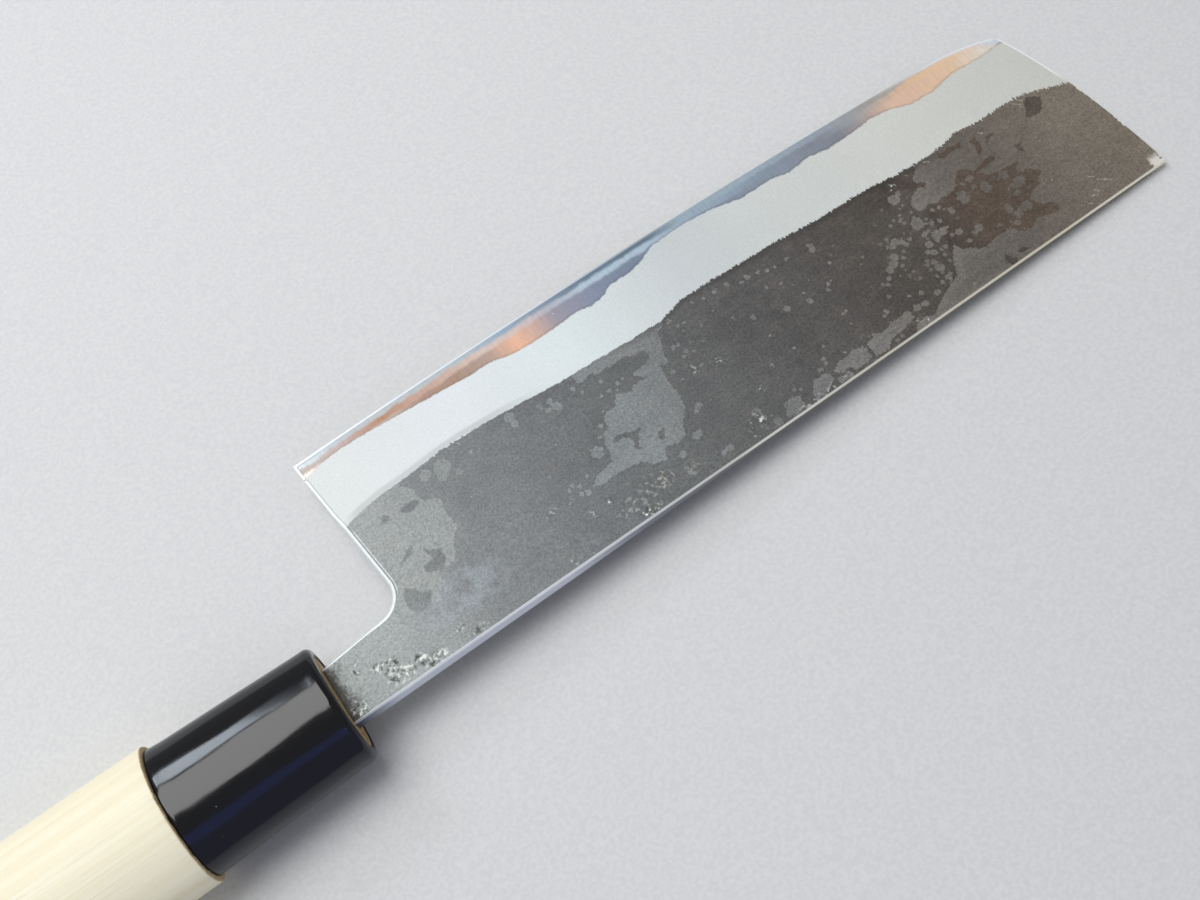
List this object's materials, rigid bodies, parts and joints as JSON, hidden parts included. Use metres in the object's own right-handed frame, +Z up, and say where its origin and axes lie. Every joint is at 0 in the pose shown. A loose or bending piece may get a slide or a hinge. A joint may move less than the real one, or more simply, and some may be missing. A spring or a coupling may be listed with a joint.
{
  "type": "kitchen knife",
  "caption": "Japanese vegetable knife with a straight-edged, square-ended laminated blade, black forge-scaled cheeks, a glossy black oval ferrule and a plain pale wood handle.",
  "frame": {"origin": "bottom centre of the bounding box, on the table that the knife lies on with its right side down, touching at the grip's shoulder and at the tip", "axes": "+X along the knife from the butt to the tip, +Y across the blade from the spine to the cutting edge, +Z up, out of the left side"},
  "size_m": [0.316, 0.059, 0.026],
  "materials": {
    "core_steel": "polished by hand, streaked across the edge",
    "iron_cladding": "black forge scale above a hazy ground bevel",
    "ferrule_resin": "polished",
    "handle_wood": "sanded, unvarnished"
  },
  "bodies": {
    "root": {"core_steel": "core_steel", "left_cladding": "iron_cladding", "right_cladding": "iron_cladding", "ferrule": "ferrule_resin", "handle": "handle_wood"}
  },
  "joints": []
}
